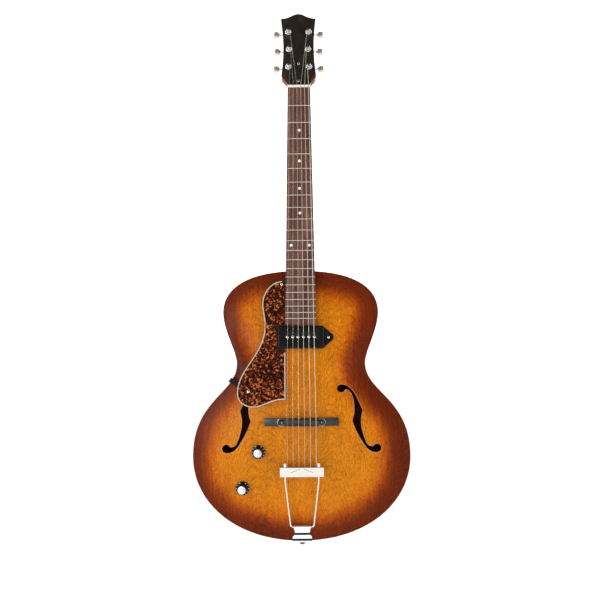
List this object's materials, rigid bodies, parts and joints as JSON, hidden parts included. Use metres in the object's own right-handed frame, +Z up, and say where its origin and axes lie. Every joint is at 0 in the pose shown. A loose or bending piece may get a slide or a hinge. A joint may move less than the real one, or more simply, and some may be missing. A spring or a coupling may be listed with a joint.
{
  "type": "archtop guitar",
  "caption": "Left-handed archtop electric guitar: arched hollow body with f-holes, dog-ear pickup, floating bridge, trapeze tailpiece, worm tuners and two controls.",
  "frame": {"origin": "middle of the strap button's waist, below the tail of the body", "axes": "+Z up the neck to the headstock, -Y out of the front towards the player's audience, +X to the right of someone facing the front (the bass side)"},
  "size_m": [0.4072, 0.1351, 1.0367],
  "materials": {
    "sunburst_wood": "gloss lacquer",
    "spruce": "bare",
    "neck_wood": "gloss lacquer",
    "black_lacquer": "gloss",
    "rosewood": "oiled",
    "ebonised_wood": "satin",
    "fret_wire": "polished",
    "pearl": "pearly",
    "bone": "polished",
    "chrome": "mirror",
    "nickel": "polished",
    "dark_steel": "satin",
    "brass": "plated",
    "string_steel": "drawn",
    "string_wound": "wound",
    "black_plastic": "gloss",
    "tortoise": "gloss",
    "ivory_plastic": "gloss",
    "spun_aluminium": "spun",
    "coil_tape": "wound",
    "magnet_alloy": "ground",
    "base_plate_brass": "stamped",
    "wire_cloth": "braided"
  },
  "bodies": {
    "guitar": {"soundboard": "sunburst_wood", "back_plate": "sunburst_wood", "treble_rib": "sunburst_wood", "bass_rib": "sunburst_wood", "kerfed_linings": "spruce", "tone_bars": "spruce", "neck_block": "spruce", "tail_block": "spruce", "neck": "neck_wood", "headstock_face": "black_lacquer", "truss_rod_cover": "black_lacquer", "fretboard": "rosewood", "bridge_base": "ebonised_wood", "frets": "fret_wire", "fret_dots": "pearl", "nut": "bone", "tuner_bushings": "chrome", "tuner_housings": "chrome", "tailpiece_bracket": "chrome", "pickup_pole_screws": "nickel", "headstock_screws": "nickel", "top_screws": "nickel", "bracket_screws": "nickel", "output_jack": "nickel", "strap_button": "dark_steel", "truss_rod": "dark_steel", "pot_bodies": "dark_steel", "bridge_studs": "brass", "plain_strings": "string_steel", "wound_strings": "string_wound", "pickup_cover": "black_plastic", "pickguard_bracket": "black_plastic", "pickguard": "tortoise", "pickguard_binding": "ivory_plastic", "pickup_coil": "coil_tape", "pickup_magnets": "magnet_alloy", "pickup_base": "base_plate_brass", "wiring": "wire_cloth"},
    "saddle": {"bridge_saddle": "ebonised_wood"},
    "treble_wheel": {"treble_thumbwheel": "brass"},
    "bass_wheel": {"bass_thumbwheel": "brass"},
    "tailpiece": {"tailpiece_bar": "nickel", "tailpiece_rods": "nickel", "tailpiece_nuts": "nickel"},
    "volume_control": {"volume_knob": "black_plastic", "volume_shaft": "spun_aluminium"},
    "tone_control": {"tone_knob": "black_plastic", "tone_shaft": "spun_aluminium"},
    "button_1": {"tuner_button_1": "chrome"},
    "post_1": {"tuner_post_1": "chrome"},
    "button_2": {"tuner_button_2": "chrome"},
    "post_2": {"tuner_post_2": "chrome"},
    "button_3": {"tuner_button_3": "chrome"},
    "post_3": {"tuner_post_3": "chrome"},
    "button_4": {"tuner_button_4": "chrome"},
    "post_4": {"tuner_post_4": "chrome"},
    "button_5": {"tuner_button_5": "chrome"},
    "post_5": {"tuner_post_5": "chrome"},
    "button_6": {"tuner_button_6": "chrome"},
    "post_6": {"tuner_post_6": "chrome"}
  },
  "joints": [
    {"name": "tuner_1_button", "type": "hinge", "parent": "guitar", "child": "button_1", "pos_m": [-0.0202, 0.01058, 0.91062], "axis": [1, 0, 0], "continuous": true},
    {"name": "tuner_1_post", "type": "hinge", "parent": "guitar", "child": "post_1", "pos_m": [-0.0202, -0.01214, 0.90815], "axis": [0, -0.9563, 0.2924], "continuous": true},
    {"name": "tuner_2_button", "type": "hinge", "parent": "guitar", "child": "button_2", "pos_m": [-0.01854, 0.0223, 0.94897], "axis": [1, 0, 0], "continuous": true},
    {"name": "tuner_2_post", "type": "hinge", "parent": "guitar", "child": "post_2", "pos_m": [-0.01854, -0.00041, 0.9465], "axis": [0, -0.9563, 0.2924], "continuous": true},
    {"name": "tuner_3_button", "type": "hinge", "parent": "guitar", "child": "button_3", "pos_m": [-0.0202, 0.03402, 0.98732], "axis": [1, 0, 0], "continuous": true},
    {"name": "tuner_3_post", "type": "hinge", "parent": "guitar", "child": "post_3", "pos_m": [-0.0202, 0.01131, 0.98485], "axis": [0, -0.9563, 0.2924], "continuous": true},
    {"name": "tuner_4_button", "type": "hinge", "parent": "guitar", "child": "button_4", "pos_m": [0.0202, 0.03402, 0.98732], "axis": [1, 0, 0], "continuous": true},
    {"name": "tuner_4_post", "type": "hinge", "parent": "guitar", "child": "post_4", "pos_m": [0.0202, 0.01131, 0.98485], "axis": [0, -0.9563, 0.2924], "continuous": true},
    {"name": "tuner_5_button", "type": "hinge", "parent": "guitar", "child": "button_5", "pos_m": [0.01854, 0.0223, 0.94897], "axis": [1, 0, 0], "continuous": true},
    {"name": "tuner_5_post", "type": "hinge", "parent": "guitar", "child": "post_5", "pos_m": [0.01854, -0.00041, 0.9465], "axis": [0, -0.9563, 0.2924], "continuous": true},
    {"name": "tuner_6_button", "type": "hinge", "parent": "guitar", "child": "button_6", "pos_m": [0.0202, 0.01058, 0.91062], "axis": [1, 0, 0], "continuous": true},
    {"name": "tuner_6_post", "type": "hinge", "parent": "guitar", "child": "post_6", "pos_m": [0.0202, -0.01214, 0.90815], "axis": [0, -0.9563, 0.2924], "continuous": true},
    {"name": "treble_wheel_turn", "type": "hinge", "parent": "saddle", "child": "treble_wheel", "pos_m": [-0.037, -0.06256, 0.22875], "axis": [0, -1, 0], "range_deg": [-516, 1288]},
    {"name": "bass_wheel_turn", "type": "hinge", "parent": "saddle", "child": "bass_wheel", "pos_m": [0.037, -0.06256, 0.22875], "axis": [0, -1, 0], "range_deg": [-516, 1288]},
    {"name": "saddle_lift", "type": "slide", "parent": "guitar", "child": "saddle", "axis": [0, -1, 0], "range_m": [-0.001, 0.0025], "deforming": ["plain_strings", "wound_strings"]},
    {"name": "tailpiece_hinge", "type": "hinge", "parent": "guitar", "child": "tailpiece", "pos_m": [0, -0.04558, 0.03385], "axis": [1, 0, 0], "range_deg": [-2, 20], "stiffness_Nm_per_rad": 8, "deforming": ["plain_strings", "wound_strings"]},
    {"name": "volume_turn", "type": "hinge", "parent": "guitar", "child": "volume_control", "pos_m": [-0.0803, -0.05062, 0.17325], "axis": [-0.0665, -0.996, -0.0596], "range_deg": [-150, 150]},
    {"name": "tone_turn", "type": "hinge", "parent": "guitar", "child": "tone_control", "pos_m": [-0.1104, -0.04331, 0.10525], "axis": [-0.0673, -0.9941, -0.085], "range_deg": [-150, 150]}
  ],
  "couplings": [
    {"joint": "tuner_1_post", "follows": "tuner_1_button", "ratio": 0.055556},
    {"joint": "tuner_2_post", "follows": "tuner_2_button", "ratio": 0.055556},
    {"joint": "tuner_3_post", "follows": "tuner_3_button", "ratio": 0.055556},
    {"joint": "tuner_4_post", "follows": "tuner_4_button", "ratio": 0.055556},
    {"joint": "tuner_5_post", "follows": "tuner_5_button", "ratio": 0.055556},
    {"joint": "tuner_6_post", "follows": "tuner_6_button", "ratio": 0.055556},
    {"joint": "treble_wheel_turn", "follows": "saddle_lift", "rad_per_m": 8976},
    {"joint": "bass_wheel_turn", "follows": "saddle_lift", "rad_per_m": 8976}
  ]
}
